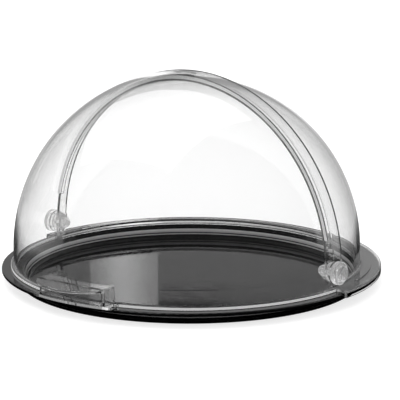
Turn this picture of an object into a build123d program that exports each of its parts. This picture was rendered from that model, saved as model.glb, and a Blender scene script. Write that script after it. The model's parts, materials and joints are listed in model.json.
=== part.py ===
from build123d import *
from math import acos, asin, cos, degrees, radians, sin
import os

# Round serving tray with a two-part roll-top cover. Millimetres, +Z up, +X to the right-hand hinge.
# The origin is the centre of the tray's flat underside, and the opening half of the cover faces -Y.

# Heights above the table
flange_top = 18.0
flange_thick = 2.7
flange_under = flange_top - flange_thick
seat_gap = 0.3
rim_top = flange_under - seat_gap
rim_under = rim_top - 2.4
floor_top = 2.5

# Tray radii, from the rim inwards to the floor
rim_radius = 188.4
skirt_thick = 3.2
skirt_bottom = 11.4
wall_outer = 170.0
base_radius = 171.5
base_chamfer = 1.0
base_band = 2.9
base_step = 0.8
well_radius = 167.5
well_draft = 0.5
ledge_top = 13.2
ledge_radius = 165.9
band_top = 12.8
band_radius = 163.3
band_bottom = 6.2
cove = 2.9
cove_centre = 159.8
tray_corners = (3, 0.6, 0.5, 0.8, 1, 0.9, 0.3, 0.4, 0.6)

# Cover: two concentric domes that roll about one axis through their common centre
axis_height = flange_top + 16.2
wall = 3.0
rear_radius = 170.0
front_radius = 176.5
rear_edge_front = -4.5
front_edge_back = 12.7
foot_cove = 2.5

# Flange and down-turned lip of the fixed rear half
lip_inner = rim_radius + seat_gap
lip_outer = 191.2
lip_bottom = flange_top - 7.7
rear_flange_front = 0.3
rear_foot_corners = (foot_cove, 1.6, 0.8, 0.6, 0.4, 0.8)

# Stiffening bead along the rear half's front edge
bead_width = 6.0
bead_radius = 172.5
bead_corner = 1.2
bead_rise = 31.0

# Low guide ribs on the rear flange, one behind each hinge
rib_radius = 179.0
rib_width = 4.6
rib_height = 1.0
rib_start = 13.3
rib_sweep = 20.5

# Narrow flange and wide finger tab of the opening half
front_flange_radius = 179.0
front_flange_back = -1.2
front_cove = 1.2
front_foot_corners = (front_cove, 0.4, 0.4, 0.8)
tab_inner = 177.5
tab_outer = 194.0
tab_half_angle = 14.3
tab_corner = 2.5

# Hinge ears, with flat seats on both faces of each wall
rear_ear_drop = 11.6
rear_ear_corner = 4.0
front_ear_radius = front_edge_back
ear_seat_radius = 10.4
rear_seat_in = 166.2
rear_seat_out = 170.8
front_seat_in = 173.0
front_seat_out = 177.8

# Hinge hardware, measured along the axis from the middle of the tray
fit = 0.05
stud_radius = 3.0
stud_hole = stud_radius + fit
bush_flange_radius = 9.5
bush_flange_thick = 1.9
sleeve_radius = 4.0
washer_thick = 1.2
outer_washer_radius = 10.0
outer_washer_in = front_seat_out + seat_gap
knob_seat = outer_washer_in + washer_thick
knob_radius = 11.35
knob_thick = 5.7
knob_edge = 1.4
cap_radius = 8.0
cap_thick = 3.6
cap_edge = 3.0
inner_washer_radius = 8.0
nut_seat = rear_seat_in - washer_thick
nut_corner_radius = 5.77
nut_hex_height = 4.2
nut_dome_radius = 4.6
nut_dome_height = 2.8
nut_dome_edge = 2.4
nut_hole_depth = 5.8
stud_clearance = 0.4
stud_end = nut_seat - nut_hole_depth + stud_clearance

# Grip on the opening half: a hollow stand with a D-shaped finger plate
grip_half_width = 40.0
grip_front = -189.0
grip_back = -160.0
grip_height = 17.0
grip_wall = 2.6
grip_corner = 3.0
plate_half_width = 42.0
plate_reach = -212.0
plate_thick = 3.0
plate_edge = 1.1
plate_drop = 0.8

# Cutting distances past the part, and the two ends of the hinge axis
far = 240.0
overcut = 1.0
sides = {"right": 1, "left": -1}


def hinge_plane(side, distance):
    """Plane square to the hinge axis that faces outwards, at a distance from the middle."""
    return Plane(origin=(side * distance, 0, axis_height), x_dir=(0, 1, 0), z_dir=(side, 0, 0))


def dome_section(outer, foot, radii):
    """Half section of a dome wall. foot runs from the outer wall, round the flange, to the inner wall."""
    inner = outer - wall
    CenterArc((0, axis_height), outer, 0, 90)
    Line((0, axis_height + outer), (0, axis_height + inner))
    CenterArc((0, axis_height), inner, 0, 90)
    FilletPolyline((outer, axis_height), *foot, (inner, axis_height), radius=radii)


os.makedirs("parts", exist_ok=True)

# Tray: one moulding turned about Z, with a skirted rim, a stepped well and a banded flat base
with BuildPart() as tray:
    with BuildSketch(Plane.XZ):
        with BuildLine():
            Polyline(
                (cove_centre, floor_top),
                (0, floor_top),
                (0, 0),
                (base_radius - base_chamfer, 0),
                (base_radius, base_chamfer),
                (base_radius, base_band),
                (wall_outer, base_band + base_step),
            )
            FilletPolyline(
                (wall_outer, base_band + base_step),
                (wall_outer, rim_under),
                (rim_radius - skirt_thick, rim_under),
                (rim_radius - skirt_thick, skirt_bottom),
                (rim_radius, skirt_bottom),
                (rim_radius, rim_top),
                (well_radius, rim_top),
                (well_radius - well_draft, ledge_top),
                (ledge_radius, band_top),
                (band_radius, band_bottom),
                (cove_centre + cove, floor_top + cove),
                radius=tray_corners,
            )
            CenterArc((cove_centre, floor_top + cove), cove, -90, 90)
        make_face()
    revolve(axis=Axis.Z)
tray.part.label = "tray"
export_step(tray.part, "parts/tray.step")

# Fixed rear half of the cover: the inner dome, whose flange has a lip that hooks over the tray rim
with BuildPart() as rear_cover:
    with BuildSketch(Plane.XZ):
        with BuildLine():
            rear_foot = (
                (rear_radius, flange_top),
                (lip_outer, flange_top),
                (lip_outer, lip_bottom),
                (lip_inner, lip_bottom),
                (lip_inner, flange_under),
                (rear_radius - wall, flange_under),
            )
            dome_section(rear_radius, rear_foot, rear_foot_corners)
        make_face()
    revolve(axis=Axis.Z)
    # Flat seats for the hinge hardware on both faces of the wall
    for side in sides.values():
        with BuildSketch(hinge_plane(side, rear_seat_in)):
            Circle(ear_seat_radius)
        extrude(amount=rear_seat_out - rear_seat_in)
    # The half dome ends just in front of the axis, and its ears stop short of the flange
    with BuildSketch(Plane.YZ):
        with BuildLine():
            ear_bottom = axis_height - rear_ear_drop
            front_edge = FilletPolyline(
                (rear_edge_front, far),
                (rear_edge_front, ear_bottom),
                (rear_flange_front, ear_bottom),
                radius=rear_ear_corner,
            )
            Polyline(front_edge @ 1, (rear_flange_front, 0), (far, 0), (far, far), front_edge @ 0)
        make_face()
    extrude(amount=far, both=True, mode=Mode.INTERSECT)
    # Bead that stiffens the front edge, from above one ear over the top to the other
    bead_start = asin(bead_rise / bead_radius)
    bead_plane = Plane(
        origin=(0, 0, axis_height),
        x_dir=(cos(bead_start), 0, sin(bead_start)),
        z_dir=(-sin(bead_start), 0, cos(bead_start)),
    )
    with BuildSketch(bead_plane) as bead:
        with Locations((rear_radius - wall / 2, rear_edge_front)):
            Rectangle(bead_radius - rear_radius + wall / 2, bead_width, align=(Align.MIN, Align.MIN))
        fillet(bead.vertices().group_by(Axis.X)[-1], bead_corner)
    bead_sweep = 180 - 2 * degrees(bead_start)
    revolve(axis=Axis((0, 0, axis_height), (0, 1, 0)), revolution_arc=-bead_sweep)
    with BuildSketch(Plane.XY.offset(flange_top)):
        for start in (rib_start, 180 - rib_start - rib_sweep):
            with BuildLine(mode=Mode.PRIVATE):
                rib_line = CenterArc((0, 0), rib_radius, start, rib_sweep)
            SlotArc(rib_line, rib_width)
    extrude(amount=rib_height)
    for side in sides.values():
        with BuildSketch(hinge_plane(side, rear_seat_in - overcut)):
            Circle(stud_hole)
        extrude(amount=rear_seat_out - rear_seat_in + 2 * overcut, mode=Mode.SUBTRACT)
rear_cover.part.label = "rear_cover"
export_step(rear_cover.part, "parts/rear_cover.step")

# Opening front half of the cover: the outer dome, with a flat flange that lies on the tray rim
with BuildPart() as front_cover:
    with BuildSketch(Plane.XZ):
        with BuildLine():
            front_foot = (
                (front_radius, flange_top),
                (front_flange_radius, flange_top),
                (front_flange_radius, flange_under),
                (front_radius - wall, flange_under),
            )
            dome_section(front_radius, front_foot, front_foot_corners)
        make_face()
    revolve(axis=Axis.Z)
    # The flange widens into a tab for the fingers in front of the grip
    with BuildSketch(Plane.XY.offset(flange_under)) as tab:
        with BuildLine():
            tab_start = 270 - tab_half_angle
            outer_arc = CenterArc((0, 0), tab_outer, tab_start, 2 * tab_half_angle)
            inner_arc = CenterArc((0, 0), tab_inner, tab_start, 2 * tab_half_angle)
            Line(outer_arc @ 0, inner_arc @ 0)
            Line(outer_arc @ 1, inner_arc @ 1)
        make_face()
        fillet(tab.vertices().sort_by(Axis.Y)[:2], tab_corner)
    extrude(amount=flange_thick)
    for side in sides.values():
        with BuildSketch(hinge_plane(side, front_seat_in)):
            Circle(ear_seat_radius)
        extrude(amount=front_seat_out - front_seat_in)
    # The dome laps over the rear half, and round ears let its back corners pass over the rear flange
    with BuildSketch(Plane.YZ):
        with BuildLine():
            ear_sweep = degrees(acos(front_flange_back / front_ear_radius))
            ear_arc = CenterArc((0, axis_height), front_ear_radius, 0, -ear_sweep)
            Polyline(
                ear_arc @ 1,
                (front_flange_back, 0),
                (-far, 0),
                (-far, far),
                (front_edge_back, far),
                ear_arc @ 0,
            )
        make_face()
    extrude(amount=far, both=True, mode=Mode.INTERSECT)
    for side in sides.values():
        with BuildSketch(hinge_plane(side, front_seat_in - overcut)):
            Circle(sleeve_radius + fit)
        extrude(amount=front_seat_out - front_seat_in + 2 * overcut, mode=Mode.SUBTRACT)
front_cover.part.label = "front_cover"
export_step(front_cover.part, "parts/front_cover.step")

# Grip: a hollow stand bonded to the dome and the flange, with a D-shaped plate to lift by
with BuildPart() as front_grip:
    with BuildSketch(Plane.XY.offset(flange_top)) as stand:
        with Locations((0, grip_front)):
            Rectangle(2 * grip_half_width, grip_back - grip_front, align=(Align.CENTER, Align.MIN))
        fillet(stand.vertices().group_by(Axis.Y)[0], grip_corner)
    extrude(amount=grip_height)
    with BuildSketch(Plane.XY.offset(flange_top)):
        with Locations((0, grip_front + grip_wall)):
            Rectangle(
                2 * (grip_half_width - grip_wall),
                grip_back - grip_front,
                align=(Align.CENTER, Align.MIN),
            )
    extrude(amount=grip_height - plate_thick, mode=Mode.SUBTRACT)
    with BuildSketch(Plane.XY.offset(flange_top + grip_height - plate_drop - plate_thick)):
        with BuildLine():
            chord = Line((-plate_half_width, grip_front), (plate_half_width, grip_front))
            ThreePointArc(chord @ 0, (0, plate_reach), chord @ 1)
        make_face()
    extrude(amount=plate_thick)
    # The stand is cut to the outer face of the dome and the cove at its foot
    with BuildSketch(Plane.XZ):
        with BuildLine():
            CenterArc((0, axis_height), front_radius, 0, 90)
            FilletPolyline(
                (front_radius, axis_height),
                (front_radius, flange_top),
                (front_flange_radius, flange_top),
                radius=front_cove,
            )
            Polyline(
                (front_flange_radius, flange_top),
                (front_flange_radius, 0),
                (0, 0),
                (0, axis_height + front_radius),
            )
        make_face()
    revolve(axis=Axis.Z, mode=Mode.SUBTRACT)
    plate_rim = front_grip.edges().filter_by(GeomType.CIRCLE).sort_by(Axis.Y)[:2]
    fillet(plate_rim, plate_edge)
front_grip.part.label = "front_grip"
export_step(front_grip.part, "parts/front_grip.step")

# Hinge hardware, the same on both sides
for name, side in sides.items():
    # Knob with a domed cap and a stud that crosses both covers
    with BuildPart() as hinge_knob:
        with BuildSketch(hinge_plane(side, knob_seat)):
            Circle(knob_radius)
        extrude(amount=knob_thick)
        knob_rims = hinge_knob.edges().filter_by(GeomType.CIRCLE)
        fillet(knob_rims.sort_by(Axis.X)[-1 if side > 0 else 0], knob_edge)
        with BuildSketch(hinge_plane(side, knob_seat + knob_thick)):
            Circle(cap_radius)
        extrude(amount=cap_thick)
        cap_rims = hinge_knob.edges().filter_by(GeomType.CIRCLE)
        fillet(cap_rims.sort_by(Axis.X)[-1 if side > 0 else 0], cap_edge)
        with BuildSketch(hinge_plane(side, stud_end)):
            Circle(stud_radius)
        extrude(amount=knob_seat - stud_end)
    hinge_knob.part.label = f"{name}_hinge_knob"
    export_step(hinge_knob.part, f"parts/{name}_hinge_knob.step")

    with BuildPart() as outer_washer:
        with BuildSketch(hinge_plane(side, outer_washer_in)):
            Circle(outer_washer_radius)
            Circle(stud_hole, mode=Mode.SUBTRACT)
        extrude(amount=washer_thick)
    outer_washer.part.label = f"{name}_outer_washer"
    export_step(outer_washer.part, f"parts/{name}_outer_washer.step")

    # Flanged bush: the flange spaces the two domes, and the sleeve is the bearing of the opening half
    with BuildPart() as hinge_bush:
        with BuildSketch(hinge_plane(side, rear_seat_out)):
            Circle(bush_flange_radius)
        extrude(amount=bush_flange_thick)
        with BuildSketch(hinge_plane(side, rear_seat_out)):
            Circle(sleeve_radius)
        extrude(amount=outer_washer_in - rear_seat_out)
        with BuildSketch(hinge_plane(side, rear_seat_out)):
            Circle(stud_hole)
        extrude(amount=outer_washer_in - rear_seat_out, mode=Mode.SUBTRACT)
    hinge_bush.part.label = f"{name}_hinge_bush"
    export_step(hinge_bush.part, f"parts/{name}_hinge_bush.step")

    with BuildPart() as inner_washer:
        with BuildSketch(hinge_plane(side, nut_seat)):
            Circle(inner_washer_radius)
            Circle(stud_hole, mode=Mode.SUBTRACT)
        extrude(amount=washer_thick)
    inner_washer.part.label = f"{name}_inner_washer"
    export_step(inner_washer.part, f"parts/{name}_inner_washer.step")

    # Cap nut: a hexagon with a domed blind end, facing into the cover
    with BuildPart() as cap_nut:
        with BuildSketch(hinge_plane(side, nut_seat)):
            RegularPolygon(nut_corner_radius, 6)
        extrude(amount=-nut_hex_height)
        with BuildSketch(hinge_plane(side, nut_seat - nut_hex_height)):
            Circle(nut_dome_radius)
        extrude(amount=-nut_dome_height)
        nut_rims = cap_nut.edges().filter_by(GeomType.CIRCLE)
        fillet(nut_rims.sort_by(Axis.X)[0 if side > 0 else -1], nut_dome_edge)
        with BuildSketch(hinge_plane(side, nut_seat)):
            Circle(stud_hole)
        extrude(amount=-nut_hole_depth, mode=Mode.SUBTRACT)
    cap_nut.part.label = f"{name}_cap_nut"
    export_step(cap_nut.part, f"parts/{name}_cap_nut.step")
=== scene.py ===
import bpy
import json
from math import cos, radians, sin
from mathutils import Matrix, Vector


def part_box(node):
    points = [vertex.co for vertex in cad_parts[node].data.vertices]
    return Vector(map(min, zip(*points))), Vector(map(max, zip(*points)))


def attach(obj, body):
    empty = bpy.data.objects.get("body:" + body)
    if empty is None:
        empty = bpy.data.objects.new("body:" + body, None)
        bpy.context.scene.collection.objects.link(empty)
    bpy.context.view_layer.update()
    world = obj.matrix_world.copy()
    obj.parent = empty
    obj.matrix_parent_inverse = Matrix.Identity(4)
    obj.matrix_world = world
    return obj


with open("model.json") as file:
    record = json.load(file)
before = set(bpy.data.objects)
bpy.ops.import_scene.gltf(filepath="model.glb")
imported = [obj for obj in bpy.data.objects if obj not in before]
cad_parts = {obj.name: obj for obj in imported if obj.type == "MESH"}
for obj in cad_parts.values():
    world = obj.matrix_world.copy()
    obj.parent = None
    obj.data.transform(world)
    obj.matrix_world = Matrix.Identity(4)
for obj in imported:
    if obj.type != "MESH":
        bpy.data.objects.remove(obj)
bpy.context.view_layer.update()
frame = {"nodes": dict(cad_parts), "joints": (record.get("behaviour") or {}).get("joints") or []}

# Covered serving tray: gloss black tray, clear roll-top cover in two halves, clear hinge knobs and grip.
# Metres, +Z up, +X to the right-hand hinge, -Y to the grip.
print("frame loaded:", len(frame["nodes"]), "nodes")


def linearColour(hexColour):
    parts = [int(hexColour[i:i + 2], 16) / 255 for i in (1, 3, 5)]
    return tuple(p / 12.92 if p <= 0.04045 else ((p + 0.055) / 1.055) ** 2.4 for p in parts) + (1,)


def addNode(tree, kind, place, inputs=None, **settings):
    node = tree.nodes.new(kind)
    node.location = place
    for name, value in settings.items():
        setattr(node, name, value)
    for name, value in (inputs or {}).items():
        if isinstance(value, bpy.types.NodeSocket):
            tree.links.new(value, node.inputs[name])
        else:
            node.inputs[name].default_value = value
    return node


def newMaterial(name):
    material = bpy.data.materials.new(name)
    material.use_nodes = True
    material.node_tree.nodes.clear()
    return material, material.node_tree


def spots(sizeMm):
    return 1000 / sizeMm  # Noise scale that gives spots of this size


noiseSpread = (0.35, 0.75)  # Where nearly all of a noise texture's values lie
smoothAngle = radians(40)  # Faces that meet at less than this are shaded as one


def makeClearPlastic(name, look):
    # Moulded clear sheet: nearly colourless, with a slow ripple from the mould and a breath of haze
    material, tree = newMaterial(name)
    where = addNode(tree, "ShaderNodeTexCoord", (-1100, 0)).outputs["Object"]
    ripple = addNode(tree, "ShaderNodeTexNoise", (-900, -200), {
        "Vector": where, "Scale": spots(look["rippleMm"]), "Detail": 1.0, "Roughness": 0.4})
    haze = addNode(tree, "ShaderNodeTexNoise", (-900, 200), {
        "Vector": where, "Scale": spots(look["hazeMm"]), "Detail": 4.0, "Roughness": 0.6})
    gloss = addNode(tree, "ShaderNodeMapRange", (-650, 200), {
        "Value": haze.outputs["Fac"], "From Min": noiseSpread[0], "From Max": noiseSpread[1],
        "To Min": look["roughness"][0], "To Max": look["roughness"][1]})
    wave = addNode(tree, "ShaderNodeBump", (-650, -200), {
        "Height": ripple.outputs["Fac"], "Strength": look["rippleStrength"],
        "Distance": look["rippleDepthMm"] / 1000})
    shader = addNode(tree, "ShaderNodeBsdfPrincipled", (-400, 0), {
        "Base Color": linearColour(look["colour"]), "IOR": look["ior"],
        "Transmission Weight": look["clarity"],
        "Roughness": gloss.outputs["Result"], "Normal": wave.outputs["Normal"]})
    # Lamps shine through the sheet without a hard glass shadow
    path = addNode(tree, "ShaderNodeLightPath", (-400, 350))
    passing = addNode(tree, "ShaderNodeBsdfTransparent", (-400, -350), {
        "Color": linearColour(look["shadeColour"])})
    mixed = addNode(tree, "ShaderNodeMixShader", (-100, 0), {
        0: path.outputs["Is Shadow Ray"], 1: shader.outputs["BSDF"], 2: passing.outputs["BSDF"]})
    addNode(tree, "ShaderNodeOutputMaterial", (100, 0), {"Surface": mixed.outputs["Shader"]})
    return material


# Polished clear polycarbonate, injection moulded: bright edges, sharp see-through
coverLook = {
    "colour": "#fcfcfc", "shadeColour": "#f4f4f4", "ior": 1.585, "roughness": (0.0, 0.03), "clarity": 1.0,
    "hazeMm": 30, "rippleMm": 90, "rippleStrength": 0.15, "rippleDepthMm": 0.4,
}
clearPolycarbonate = makeClearPlastic("polishedClearPolycarbonate", coverLook)


def makeClearFitting(name, look):
    # Small thick clear forms: clear where they are seen face on, denser along every turned edge
    material, tree = newMaterial(name)
    where = addNode(tree, "ShaderNodeTexCoord", (-1100, 0)).outputs["Object"]
    flow = addNode(tree, "ShaderNodeTexNoise", (-900, -200), {
        "Vector": where, "Scale": spots(look["flowMm"]), "Detail": 2.0})
    gloss = addNode(tree, "ShaderNodeMapRange", (-650, 200), {
        "Value": flow.outputs["Fac"], "From Min": noiseSpread[0], "From Max": noiseSpread[1],
        "To Min": look["roughness"][0], "To Max": look["roughness"][1]})
    wave = addNode(tree, "ShaderNodeBump", (-650, -200), {
        "Height": flow.outputs["Fac"], "Strength": look["flowStrength"],
        "Distance": look["flowDepthMm"] / 1000})
    edge = addNode(tree, "ShaderNodeLayerWeight", (-900, -450), {
        "Blend": look["edgeBlend"], "Normal": wave.outputs["Normal"]})
    body = addNode(tree, "ShaderNodeMapRange", (-650, -450), {
        "Value": edge.outputs["Facing"], "To Min": look["body"][0], "To Max": look["body"][1]})
    # Painted glow: a white emission, faint face on and strongest where the surface turns away, stands in for
    # light piped through the thick form
    paintedRimGlowStrength = addNode(tree, "ShaderNodeMapRange", (-650, -700), {
        "Value": edge.outputs["Facing"], "From Min": look["paintedGlowFacing"][0], "From Max": look["paintedGlowFacing"][1],
        "To Min": look["paintedRimGlow"][0], "To Max": look["paintedRimGlow"][1]})
    shader = addNode(tree, "ShaderNodeBsdfPrincipled", (-300, 0), {
        "Base Color": linearColour(look["colour"]), "IOR": look["ior"],
        "Transmission Weight": look["clarity"], "Roughness": gloss.outputs["Result"],
        "Normal": wave.outputs["Normal"], "Alpha": body.outputs["Result"],
        "Emission Color": (1, 1, 1, 1), "Emission Strength": paintedRimGlowStrength.outputs["Result"]})
    addNode(tree, "ShaderNodeOutputMaterial", (100, 0), {"Surface": shader.outputs["BSDF"]})
    return material


# Polycarbonate in thick turned forms: it lets the eye through, and a painted glow brightens its turned edges.
# The IOR of 1.4
# was set: the resin's own 1.585 renders nearly the same.
hardwareLook = {
    "colour": "#ffffff", "clarity": 0.95, "ior": 1.4, "roughness": (0.0, 0.05),
    "flowMm": 8, "flowStrength": 0.2, "flowDepthMm": 0.01,
    "edgeBlend": 0.3, "body": (0.6, 1.0), "paintedGlowFacing": (0.15, 0.85), "paintedRimGlow": (0.03, 0.3),
}
mouldedPolycarbonate = makeClearFitting("mouldedClearPolycarbonateKnobs", hardwareLook)

# Natural polyamide washers: milky and satin, with a faint painted glow at their edges, so the joints read as
# pale rings
washerLook = {
    "colour": "#f0f0f0", "clarity": 0.5, "ior": 1.53, "roughness": (0.35, 0.5),
    "flowMm": 3, "flowStrength": 0.2, "flowDepthMm": 0.05,
    "edgeBlend": 0.4, "body": (0.08, 0.5), "paintedGlowFacing": (0.15, 0.85), "paintedRimGlow": (0.03, 0.15),
}
naturalPolyamide = makeClearFitting("satinNaturalPolyamide", washerLook)

# Gloss black SAN from a polished mould: near-black, mirror-like at a low angle, with faint wipe marks
trayLook = {
    "colour": "#0a0a0b", "wornColour": "#121214", "ior": 1.55, "roughness": (0.02, 0.09),
    "wipeMm": 35, "wipeStretch": (1.0, 3.0, 1.0), "dustMm": 1.2, "dustShare": (0.55, 0.8),
    "waveMm": 140, "waveStrength": 0.12, "waveDepthMm": 0.5,
    "bandInnerMm": 162, "bandTopMm": 16, "bandRoughness": 0.3, "paintedSheenColour": "#d8d8d8",
    # Share of satin roughness and of painted sheen colour at each height over the table in mm
    "band": ((5.5, 0), (5.8, 0.6), (6.5, 0.6), (6.9, 0), (7.4, 0.05), (8.2, 0.6), (10.8, 1), (11.3, 0)),
}
glossBlack, tree = newMaterial("polishedBlackSan")
where = addNode(tree, "ShaderNodeTexCoord", (-1300, 0)).outputs["Object"]
stretched = addNode(tree, "ShaderNodeMapping", (-1100, 200), {
    "Vector": where, "Scale": trayLook["wipeStretch"]})
wipes = addNode(tree, "ShaderNodeTexNoise", (-900, 200), {
    "Vector": stretched.outputs["Vector"], "Scale": spots(trayLook["wipeMm"]), "Detail": 5.0})
dust = addNode(tree, "ShaderNodeTexNoise", (-900, 500), {
    "Vector": where, "Scale": spots(trayLook["dustMm"]), "Detail": 2.0})
dusty = addNode(tree, "ShaderNodeMapRange", (-650, 500), {
    "Value": dust.outputs["Fac"], "From Min": trayLook["dustShare"][0],
    "From Max": trayLook["dustShare"][1]})
colour = addNode(tree, "ShaderNodeMix", (-400, 500), {
    "Factor": dusty.outputs["Result"]}, data_type="RGBA")
colour.inputs[6].default_value = linearColour(trayLook["colour"])
colour.inputs[7].default_value = linearColour(trayLook["wornColour"])
gloss = addNode(tree, "ShaderNodeMapRange", (-650, 200), {
    "Value": wipes.outputs["Fac"], "From Min": noiseSpread[0], "From Max": noiseSpread[1],
    "To Min": trayLook["roughness"][0], "To Max": trayLook["roughness"][1]})
# The sloped band round the well keeps the mould's satin roughness, and a pale grey painted sheen lightens the
# colour of its upper part and its lower corner
height = addNode(tree, "ShaderNodeSeparateXYZ", (-1100, -500), {"Vector": where})
level = addNode(tree, "ShaderNodeVectorMath", (-1100, -700), {0: where, 1: (1, 1, 0)}, operation="MULTIPLY")
radius = addNode(tree, "ShaderNodeVectorMath", (-900, -700), {0: level.outputs["Vector"]}, operation="LENGTH")
outside = addNode(tree, "ShaderNodeMath", (-700, -700), {
    0: radius.outputs["Value"], 1: trayLook["bandInnerMm"] / 1000}, operation="GREATER_THAN")
heightShare = addNode(tree, "ShaderNodeMath", (-900, -500), {
    0: height.outputs["Z"], 1: trayLook["bandTopMm"] / 1000}, operation="DIVIDE")
bandRamp = addNode(tree, "ShaderNodeValToRGB", (-700, -500), {0: heightShare.outputs[0]})
stops = bandRamp.color_ramp.elements
while len(stops) < len(trayLook["band"]):
    stops.new(1.0)
for stop, (heightMm, grey) in zip(stops, trayLook["band"]):
    stop.position = heightMm / trayLook["bandTopMm"]
    stop.color = (grey, grey, grey, 1)
band = addNode(tree, "ShaderNodeMath", (-450, -550), {
    0: bandRamp.outputs["Color"], 1: outside.outputs[0]}, operation="MULTIPLY")
# Painted sheen: the pale grey is mixed into the black base colour on the band
paintedSheenColour = addNode(tree, "ShaderNodeMix", (-300, 300), {"Factor": band.outputs[0]}, data_type="RGBA")
tree.links.new(colour.outputs[2], paintedSheenColour.inputs[6])
paintedSheenColour.inputs[7].default_value = linearColour(trayLook["paintedSheenColour"])
bandGloss = addNode(tree, "ShaderNodeMapRange", (-400, -450), {
    "Value": band.outputs[0], "To Min": 0.0, "To Max": trayLook["bandRoughness"]})
finish = addNode(tree, "ShaderNodeMath", (-400, -200), {
    0: gloss.outputs["Result"], 1: bandGloss.outputs["Result"]}, operation="MAXIMUM")
wave = addNode(tree, "ShaderNodeTexNoise", (-900, -200), {
    "Vector": where, "Scale": spots(trayLook["waveMm"]), "Detail": 0.0})
waviness = addNode(tree, "ShaderNodeBump", (-650, -200), {
    "Height": wave.outputs["Fac"], "Strength": trayLook["waveStrength"],
    "Distance": trayLook["waveDepthMm"] / 1000})
shader = addNode(tree, "ShaderNodeBsdfPrincipled", (-200, 0), {
    "Base Color": paintedSheenColour.outputs[2], "IOR": trayLook["ior"],
    "Roughness": finish.outputs[0], "Normal": waviness.outputs["Normal"]})
addNode(tree, "ShaderNodeOutputMaterial", (100, 0), {"Surface": shader.outputs["BSDF"]})

# Every CAD node takes the finish of its own resin
finishOf = {"tray": glossBlack}
for name in ("rear_cover", "front_cover", "front_grip"):
    finishOf[name] = clearPolycarbonate
for side in ("right", "left"):
    for name in ("hinge_knob", "hinge_bush", "cap_nut"):
        finishOf[f"{side}_{name}"] = mouldedPolycarbonate
    for name in ("outer_washer", "inner_washer"):
        finishOf[f"{side}_{name}"] = naturalPolyamide
for name, material in finishOf.items():
    for materialSlot in frame["nodes"][name].material_slots:
        materialSlot.material = material
print("finishes given to", len(finishOf), "nodes")

# Trimmed edge of the opening half's flange: a satin cut with a painted glow, broken where the finger tab
# begins.
# Heights are over the flange's underside, and the strip ends at "back", in front of the hinge line.
trimmedEdge = {
    "segments": 240, "proud": 0.00001, "low": 0.0003, "high": 0.0025, "thick": 0.00015,
    "back": -0.0014, "tabHalfAngle": 14.5,
}
frontLow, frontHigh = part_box("front_cover")
bpy.ops.object.select_all(action="DESELECT")
bpy.ops.mesh.primitive_circle_add(
    vertices=trimmedEdge["segments"], radius=frontHigh[0] + trimmedEdge["proud"],
    location=(0, 0, frontLow[2] + trimmedEdge["low"]))
edgeStrip = bpy.context.object
edgeStrip.name = "flange_trimmed_edge"
bpy.ops.object.transform_apply(location=True)
bpy.ops.object.mode_set(mode="EDIT")
bpy.ops.mesh.select_all(action="SELECT")
bpy.ops.mesh.extrude_region_move(
    TRANSFORM_OT_translate={"value": (0, 0, trimmedEdge["high"] - trimmedEdge["low"])})
bpy.ops.mesh.select_all(action="SELECT")
bpy.ops.mesh.bisect(plane_co=(0, trimmedEdge["back"], 0), plane_no=(0, 1, 0), clear_outer=True)
bpy.ops.mesh.select_all(action="DESELECT")
bpy.ops.object.mode_set(mode="OBJECT")
tabReach = frontHigh[0] * sin(radians(trimmedEdge["tabHalfAngle"]))
for face in edgeStrip.data.polygons:
    face.select = abs(face.center.x) < tabReach
bpy.ops.object.mode_set(mode="EDIT")
bpy.ops.mesh.delete(type="FACE")
bpy.ops.mesh.select_all(action="SELECT")
bpy.ops.mesh.normals_make_consistent(inside=False)
bpy.ops.object.mode_set(mode="OBJECT")
wall = edgeStrip.modifiers.new("wall", "SOLIDIFY")
wall.thickness = trimmedEdge["thick"]
wall.offset = 0
bpy.ops.object.modifier_apply(modifier=wall.name)
bpy.ops.object.shade_smooth_by_angle(angle=smoothAngle)

# The moulded edges of the two halves: a satin cut face with a painted glow, between thin grey strips of
# painted shade on the rounded arris edges.
# Each ring stands at y = front and ends at "lowest" over the hinge axis.
edgeRings = {
    "rear_bead_face": {"body": "rear_half", "finish": "cut", "outer": 0.1718, "width": 0.0030,
                       "front": -0.0046, "lowest": 0.031},
    "rear_bead_painted_shade": {"body": "rear_half", "finish": "arris", "outer": 0.1677, "width": 0.0005,
                        "front": -0.0046, "lowest": 0.014},
    "front_edge_painted_shade_out": {"body": "front_half", "finish": "arris", "outer": 0.1764, "width": 0.0006,
                             "front": 0.0127, "lowest": 0.016},
    "front_edge_painted_shade_in": {"body": "front_half", "finish": "arris", "outer": 0.1742, "width": 0.0006,
                            "front": 0.0127, "lowest": 0.016},
}
ringThick = 0.0001
ringSegments = 240
axisHeight = next(joint for joint in frame["joints"] if joint["name"] == "front_roll")["pos_m"][2]
trimmedFaces = [edgeStrip]
paintedShadeRings = []
for name, edge in edgeRings.items():
    bpy.ops.object.select_all(action="DESELECT")
    bpy.ops.mesh.primitive_circle_add(
        vertices=ringSegments, radius=edge["outer"], fill_type="NGON",
        location=(0, edge["front"], axisHeight), rotation=(radians(90), 0, 0))
    ring = bpy.context.object
    ring.name = name
    bpy.ops.object.transform_apply(location=True, rotation=True)
    bpy.ops.object.mode_set(mode="EDIT")
    bpy.ops.mesh.select_all(action="SELECT")
    bpy.ops.mesh.inset(thickness=edge["width"])
    bpy.ops.mesh.delete(type="FACE")
    bpy.ops.mesh.select_all(action="SELECT")
    bpy.ops.mesh.bisect(
        plane_co=(0, 0, axisHeight + edge["lowest"]), plane_no=(0, 0, 1), clear_inner=True)
    bpy.ops.mesh.select_all(action="SELECT")
    bpy.ops.mesh.extrude_region_move(TRANSFORM_OT_translate={"value": (0, ringThick, 0)})
    bpy.ops.mesh.select_all(action="SELECT")
    bpy.ops.mesh.normals_make_consistent(inside=False)
    bpy.ops.object.mode_set(mode="OBJECT")
    bpy.ops.object.shade_smooth_by_angle(angle=smoothAngle)
    (trimmedFaces if edge["finish"] == "cut" else paintedShadeRings).append(ring)
    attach(ring, edge["body"])
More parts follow.
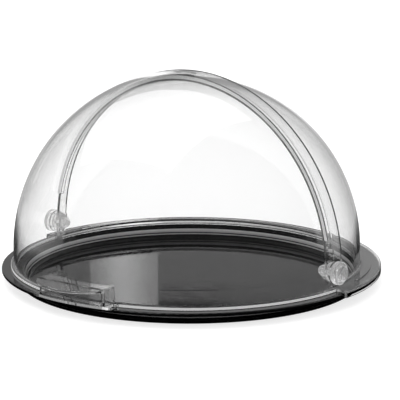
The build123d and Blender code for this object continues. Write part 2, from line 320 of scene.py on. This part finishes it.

# Painted shade: an opaque grey strip on the rounded arris of clear polycarbonate, standing in for the thin
# dark line that the arris makes by sending light sideways
paintedShadeLook = {"colour": "#6c6e6e", "ior": 1.585, "wearMm": 6, "roughness": (0.1, 0.3)}
paintedShadePlastic, tree = newMaterial("paintedShadeArrisStrip")
where = addNode(tree, "ShaderNodeTexCoord", (-900, 0)).outputs["Object"]
wear = addNode(tree, "ShaderNodeTexNoise", (-700, 0), {
    "Vector": where, "Scale": spots(paintedShadeLook["wearMm"]), "Detail": 2.0})
polish = addNode(tree, "ShaderNodeMapRange", (-500, 0), {
    "Value": wear.outputs["Fac"], "To Min": paintedShadeLook["roughness"][0],
    "To Max": paintedShadeLook["roughness"][1]})
paintedShadeShader = addNode(tree, "ShaderNodeBsdfPrincipled", (-200, 0), {
    "Base Color": linearColour(paintedShadeLook["colour"]), "IOR": paintedShadeLook["ior"],
    "Roughness": polish.outputs["Result"]})
addNode(tree, "ShaderNodeOutputMaterial", (100, 0), {"Surface": paintedShadeShader.outputs["BSDF"]})
for ring in paintedShadeRings:
    ring.data.materials.append(paintedShadePlastic)

# Saw-trimmed polycarbonate: a fine white satin that scatters light, with a painted glow from emission so the
# edge reads white
cutLook = {
    "colour": "#fcfcfc", "ior": 1.585, "cutMm": 1.5, "roughness": (0.45, 0.7), "cutStrength": 0.3,
    "cutDepthMm": 0.05, "glow": 0.2,
}
satinCutWithPaintedGlow, tree = newMaterial("satinTrimmedPolycarbonatePaintedGlow")
where = addNode(tree, "ShaderNodeTexCoord", (-900, 0)).outputs["Object"]
grain = addNode(tree, "ShaderNodeTexNoise", (-700, 0), {
    "Vector": where, "Scale": spots(cutLook["cutMm"]), "Detail": 3.0})
satin = addNode(tree, "ShaderNodeMapRange", (-500, 0), {
    "Value": grain.outputs["Fac"], "To Min": cutLook["roughness"][0], "To Max": cutLook["roughness"][1]})
cutMarks = addNode(tree, "ShaderNodeBump", (-500, -250), {
    "Height": grain.outputs["Fac"], "Strength": cutLook["cutStrength"],
    "Distance": cutLook["cutDepthMm"] / 1000})
# Painted glow: the emission makes the cut edge shine white with no lamp on it
satinShader = addNode(tree, "ShaderNodeBsdfPrincipled", (-200, 0), {
    "Base Color": linearColour(cutLook["colour"]), "IOR": cutLook["ior"],
    "Emission Color": (1, 1, 1, 1), "Emission Strength": cutLook["glow"],
    "Roughness": satin.outputs["Result"], "Normal": cutMarks.outputs["Normal"]})
addNode(tree, "ShaderNodeOutputMaterial", (100, 0), {"Surface": satinShader.outputs["BSDF"]})
for face in trimmedFaces:
    face.data.materials.append(satinCutWithPaintedGlow)
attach(edgeStrip, "front_half")
print("flange and bead edges trimmed")

# Camera: long lens, low three-quarter view on the grip and the right-hand hinge
view = {
    "azimuth": 37.32, "elevation": 14.4, "distance": 3.509, "lens": 315.2, "sensor": 36.0,
    "flangeHeight": 0.018, "aimRight": 0.00996, "aimHeight": 0.06304,
}
toRight = Vector((cos(radians(view["azimuth"])), sin(radians(view["azimuth"])), 0))
toBack = Vector((-sin(radians(view["azimuth"])), cos(radians(view["azimuth"])), 0))


def studioPlace(right, back, height):
    # A place given as the photographer sees it, from the middle of the tray
    return toRight * right + toBack * back + Vector((0, 0, height))


cameraData = bpy.data.cameras.new("camera")
camera = bpy.data.objects.new("camera", cameraData)
bpy.context.scene.collection.objects.link(camera)
cameraData.lens = view["lens"]
cameraData.sensor_width = view["sensor"]
cameraData.clip_end = 50
camera.location = studioPlace(
    0, -view["distance"] * cos(radians(view["elevation"])),
    view["flangeHeight"] + view["distance"] * sin(radians(view["elevation"])))
aim = studioPlace(view["aimRight"], 0, view["flangeHeight"] + view["aimHeight"])
camera.rotation_euler = (aim - camera.location).to_track_quat("-Z", "Y").to_euler()
bpy.context.scene.camera = camera
print("camera placed")

# Studio: white floor and backdrop, a soft lamp, and a dim tent and two cards that only the gloss sees
studio = {
    "floorRadius": 30.0, "floorColour": "#bebebe", "floorGlow": 0.75, "backdrop": 1.0, "fill": 0.55,
    # Glow of the tent's parts, then the shares of the heading between which each part fades
    "tentRadius": 8.0, "clothHeight": 0.0004, "tentDark": 0.04, "tentSide": 0.55, "tentWhite": 1.0,
    "tentRight": 0.28, "tentLow": 0.42, "whiteShare": (0.1, 0.3), "sideShare": (0.1, 0.3),
    "highShare": (0.4, 0.6), "rightShare": (0.01, 0.022), "lowShare": (0.2606, 0.2664),
    # Distances in metres on the cloth for its painted shadow: dark near the tray, white beyond it
    "paintedShadowReach": (0.26, 0.55), "whiteBeyond": 0.35, "groundShare": 0.02,
    # Reflections before a ray sees the tent, sees it dimmer, and counts as light piped in the plastic
    "firstLookFrom": 0.5, "secondLookFrom": 1.5, "pipedFrom": 3.5, "secondLook": 0.35, "edgeGlow": 0.4,
    "bounces": 48,
    "topLamp": {"place": (-0.68, 0.6, 1.5), "aim": (-0.68, 0.6, 0), "size": (2.3, 1.8), "watts": 20},
    "cards": {
        # Strength along the middle, then at the left and right edges
        "whiteCard": {"right": (-0.1414, -0.0444), "strength": (1.5, 0.85)},
        "greyCard": {"right": (-0.5, -0.1414), "strength": (0.4, 0.4)},
    },
    "cardBack": 1.0, "cardHeight": (0.12, 0.38),
}


def showsWhite(tree, place):
    # 1 where the eye sees the backdrop: straight, in a gloss surface or through a clear one
    path = addNode(tree, "ShaderNodeLightPath", place)
    seen = addNode(tree, "ShaderNodeMath", (place[0] + 200, place[1]), {
        0: path.outputs["Is Camera Ray"], 1: path.outputs["Is Glossy Ray"]}, operation="MAXIMUM")
    return addNode(tree, "ShaderNodeMath", (place[0] + 400, place[1]), {
        0: seen.outputs[0], 1: path.outputs["Is Transmission Ray"]}, operation="MAXIMUM").outputs[0]


bpy.ops.object.select_all(action="DESELECT")
bpy.ops.mesh.primitive_circle_add(vertices=64, radius=studio["floorRadius"], fill_type="NGON")
floor = bpy.context.object
floor.name = "studioFloor"
paper, tree = newMaterial("mattWhitePaper")
glow = addNode(tree, "ShaderNodeMath", (-300, -200), {
    0: showsWhite(tree, (-900, -200)), 1: studio["floorGlow"]}, operation="MULTIPLY")
paperShader = addNode(tree, "ShaderNodeBsdfPrincipled", (-100, 0), {
    "Base Color": linearColour(studio["floorColour"]), "Roughness": 1.0, "Specular IOR Level": 0.0,
    "Emission Color": (1, 1, 1, 1), "Emission Strength": glow.outputs[0]})
addNode(tree, "ShaderNodeOutputMaterial", (200, 0), {"Surface": paperShader.outputs["BSDF"]})
floor.data.materials.append(paper)

world = bpy.data.worlds.new("studio")
world.use_nodes = True
bpy.context.scene.world = world
tree = world.node_tree
tree.nodes.clear()
strength = addNode(tree, "ShaderNodeMapRange", (-100, 0), {
    "Value": showsWhite(tree, (-700, 0)), "To Min": studio["fill"], "To Max": studio["backdrop"]})
background = addNode(tree, "ShaderNodeBackground", (100, 0), {
    "Color": (1, 1, 1, 1), "Strength": strength.outputs["Result"]})
addNode(tree, "ShaderNodeOutputWorld", (300, 0), {"Surface": background.outputs["Background"]})


def glowMaterial(name):
    # Seen only in reflections, also where they leave through a clear sheet
    material, tree = newMaterial(name)
    path = addNode(tree, "ShaderNodeLightPath", (-400, 200))
    mirrored = addNode(tree, "ShaderNodeMath", (-200, 200), {
        0: path.outputs["Glossy Depth"], 1: studio["firstLookFrom"]}, operation="GREATER_THAN")
    # Light that has bounced many times inside the plastic comes from the whole bright room
    piped = addNode(tree, "ShaderNodeMath", (-600, -200), {
        0: path.outputs["Glossy Depth"], 1: studio["pipedFrom"]}, operation="GREATER_THAN")
    pipedGlow = addNode(tree, "ShaderNodeMath", (-400, -200), {
        0: piped.outputs[0], 1: studio["edgeGlow"]}, operation="MULTIPLY")
    # After a second reflection the room looks dimmer, so black gloss stays black
    again = addNode(tree, "ShaderNodeMath", (-600, -500), {
        0: path.outputs["Glossy Depth"], 1: studio["secondLookFrom"]}, operation="GREATER_THAN")
    dimming = addNode(tree, "ShaderNodeMapRange", (-400, -500), {
        "Value": again.outputs[0], "To Min": 1.0, "To Max": studio["secondLook"]})
    dimmed = addNode(tree, "ShaderNodeMath", (-350, -450), {
        0: dimming.outputs["Result"], 1: 0.0}, operation="MULTIPLY")
    strongest = addNode(tree, "ShaderNodeMath", (-300, -350), {
        0: pipedGlow.outputs[0], 1: dimmed.outputs[0]}, operation="MAXIMUM")
    clear = addNode(tree, "ShaderNodeBsdfTransparent", (-200, 0))
    emission = addNode(tree, "ShaderNodeEmission", (-200, -200), {"Strength": strongest.outputs[0]})
    mixed = addNode(tree, "ShaderNodeMixShader", (0, 0), {
        0: mirrored.outputs[0], 1: clear.outputs["BSDF"], 2: emission.outputs["Emission"]})
    addNode(tree, "ShaderNodeOutputMaterial", (200, 0), {"Surface": mixed.outputs["Shader"]})
    return material, tree, dimmed.inputs[1]


def onlyInGloss(thing):
    thing.visible_camera = False
    thing.visible_diffuse = False
    thing.visible_shadow = False


# The dim tent: a hemisphere with its own ground cloth, so that black gloss stays black
bpy.ops.object.select_all(action="DESELECT")
bpy.ops.mesh.primitive_uv_sphere_add(segments=48, ring_count=24, radius=studio["tentRadius"])
tent = bpy.context.object
tent.name = "dimTent"
bpy.ops.object.mode_set(mode="EDIT")
bpy.ops.mesh.select_all(action="SELECT")
bpy.ops.mesh.bisect(
    plane_co=(0, 0, studio["clothHeight"]), plane_no=(0, 0, 1), clear_inner=True, use_fill=True)
bpy.ops.object.mode_set(mode="OBJECT")
# Dark behind the set, grey at its sides with a painted shadow on the cloth round the tray, and white on the
# ground beyond the object
dimStudio, tree, tentStrength = glowMaterial("dimStudio")
where = addNode(tree, "ShaderNodeTexCoord", (-1800, -300)).outputs["Object"]
turned = addNode(tree, "ShaderNodeMapping", (-1600, -300), {
    "Vector": where, "Rotation": (0, 0, -radians(view["azimuth"]))}).outputs["Vector"]
metres = addNode(tree, "ShaderNodeSeparateXYZ", (-1400, -200), {"Vector": turned})
heading = addNode(tree, "ShaderNodeVectorMath", (-1400, -450), {"Vector": turned}, operation="NORMALIZE")
headed = addNode(tree, "ShaderNodeSeparateXYZ", (-1200, -450), {"Vector": heading.outputs["Vector"]})
sideways = addNode(tree, "ShaderNodeMath", (-1000, -450), {0: headed.outputs["X"]}, operation="ABSOLUTE")
forward = addNode(tree, "ShaderNodeMath", (-1000, -650), {
    0: headed.outputs["Y"], 1: 0.0}, operation="GREATER_THAN")
aside = addNode(tree, "ShaderNodeMapRange", (-800, -450), {
    "Value": sideways.outputs[0],
    "From Min": studio["sideShare"][0], "From Max": studio["sideShare"][1]}, interpolation_type="SMOOTHSTEP")
aloft = addNode(tree, "ShaderNodeMapRange", (-800, -700), {
    "Value": headed.outputs["Z"],
    "From Min": studio["highShare"][0], "From Max": studio["highShare"][1]}, interpolation_type="SMOOTHSTEP")
away = addNode(tree, "ShaderNodeMath", (-600, -550), {
    0: aside.outputs["Result"], 1: aloft.outputs["Result"]}, operation="MAXIMUM")
ahead = addNode(tree, "ShaderNodeMath", (-500, -650), {
    0: away.outputs[0], 1: forward.outputs[0]}, operation="MULTIPLY")
sideGrey = addNode(tree, "ShaderNodeMapRange", (-400, -450), {
    "Value": ahead.outputs[0], "To Min": studio["tentDark"], "To Max": studio["tentSide"]})
lowAhead = addNode(tree, "ShaderNodeMapRange", (-800, -1300), {
    "Value": headed.outputs["Z"], "From Min": studio["lowShare"][0], "From Max": studio["lowShare"][1],
    "To Min": studio["tentLow"], "To Max": 0.0})
towardsRight = addNode(tree, "ShaderNodeMapRange", (-800, -900), {
    "Value": headed.outputs["X"], "From Min": studio["rightShare"][0], "From Max": studio["rightShare"][1],
    "To Min": 0.0, "To Max": studio["tentRight"]})
aheadGrey = addNode(tree, "ShaderNodeMath", (-700, -1000), {
    0: towardsRight.outputs["Result"], 1: lowAhead.outputs["Result"]}, operation="MAXIMUM")
rightGrey = addNode(tree, "ShaderNodeMath", (-600, -900), {
    0: aheadGrey.outputs[0], 1: forward.outputs[0]}, operation="MULTIPLY")
lighter = addNode(tree, "ShaderNodeMath", (-300, -600), {
    0: sideGrey.outputs["Result"], 1: rightGrey.outputs[0]}, operation="MAXIMUM")
# Painted shadow: the cloth's grey fades to dark near the tray, standing in for the tray's shadow on the
# ground
reach = addNode(tree, "ShaderNodeVectorMath", (-1200, -1000), {0: where}, operation="LENGTH")
outsidePaintedShadow = addNode(tree, "ShaderNodeMapRange", (-800, -1100), {
    "Value": reach.outputs["Value"],
    "From Min": studio["paintedShadowReach"][0], "From Max": studio["paintedShadowReach"][1]}, interpolation_type="SMOOTHSTEP")
greyAround = addNode(tree, "ShaderNodeMath", (-200, -700), {
    0: lighter.outputs[0], 1: outsidePaintedShadow.outputs["Result"]}, operation="MULTIPLY")
beyond = addNode(tree, "ShaderNodeMath", (-1000, -200), {
    0: metres.outputs["Y"], 1: studio["whiteBeyond"]}, operation="GREATER_THAN")
ground = addNode(tree, "ShaderNodeMath", (-1000, 0), {
    0: headed.outputs["Z"], 1: studio["groundShare"]}, operation="LESS_THAN")
whiteGround = addNode(tree, "ShaderNodeMath", (-800, -100), {
    0: beyond.outputs[0], 1: ground.outputs[0]}, operation="MULTIPLY")
narrow = addNode(tree, "ShaderNodeMapRange", (-800, 100), {
    "Value": sideways.outputs[0], "From Min": studio["whiteShare"][0], "From Max": studio["whiteShare"][1],
    "To Min": studio["tentWhite"], "To Max": studio["tentSide"]}, interpolation_type="SMOOTHSTEP")
whiteGlow = addNode(tree, "ShaderNodeMath", (-600, -100), {
    0: whiteGround.outputs[0], 1: narrow.outputs["Result"]}, operation="MULTIPLY")
brighter = addNode(tree, "ShaderNodeMath", (-400, -300), {
    0: whiteGlow.outputs[0], 1: greyAround.outputs[0]}, operation="MAXIMUM")
tree.links.new(brighter.outputs[0], tentStrength)
tent.data.materials.append(dimStudio)
onlyInGloss(tent)

# Cards behind and to the left, which the tray's floor mirrors: a white one, brightest along its middle,
# and a grey one beside it
for name, card in studio["cards"].items():
    bpy.ops.object.select_all(action="DESELECT")
    bpy.ops.mesh.primitive_plane_add(size=1)
    cardObject = bpy.context.object
    cardObject.name = name
    for vertex, corner in zip(cardObject.data.vertices, ((0, 0), (1, 0), (0, 1), (1, 1))):
        vertex.co = studioPlace(
            card["right"][corner[0]], studio["cardBack"], studio["cardHeight"][corner[1]])
    cardMaterial, tree, cardStrength = glowMaterial(name)
    where = addNode(tree, "ShaderNodeTexCoord", (-1200, -700)).outputs["Object"]
    turned = addNode(tree, "ShaderNodeMapping", (-1000, -700), {
        "Vector": where, "Rotation": (0, 0, -radians(view["azimuth"]))})
    across = addNode(tree, "ShaderNodeSeparateXYZ", (-800, -700), {"Vector": turned.outputs["Vector"]})
    fromMiddle = addNode(tree, "ShaderNodeMath", (-700, -700), {
        0: across.outputs["X"], 1: sum(card["right"]) / 2}, operation="SUBTRACT")
    apart = addNode(tree, "ShaderNodeMath", (-650, -700), {0: fromMiddle.outputs[0]}, operation="ABSOLUTE")
    fading = addNode(tree, "ShaderNodeMapRange", (-600, -700), {
        "Value": apart.outputs[0], "From Max": (card["right"][1] - card["right"][0]) / 2,
        "To Min": card["strength"][0], "To Max": card["strength"][1]}, interpolation_type="SMOOTHSTEP")
    tree.links.new(fading.outputs["Result"], cardStrength)
    cardObject.data.materials.append(cardMaterial)
    onlyInGloss(cardObject)

# One soft lamp over the back of the tray
lamp = studio["topLamp"]
lampData = bpy.data.lights.new("topLamp", "AREA")
lampData.shape = "RECTANGLE"
lampData.size, lampData.size_y = lamp["size"]
lampData.energy = lamp["watts"]
lampObject = bpy.data.objects.new("topLamp", lampData)
bpy.context.scene.collection.objects.link(lampObject)
lampObject.location = studioPlace(*lamp["place"])
lampAim = studioPlace(*lamp["aim"]) - lampObject.location
lampObject.rotation_euler = lampAim.to_track_quat("-Z", "Y").to_euler()
lampObject.visible_camera = False
lampObject.visible_transmission = False
bpy.context.scene.view_settings.view_transform = "Standard"
# Light is piped round the clear walls, so it needs many bounces to come out again
cycles = bpy.context.scene.cycles
cycles.max_bounces = cycles.transmission_bounces = cycles.glossy_bounces = studio["bounces"]
print("studio lit")
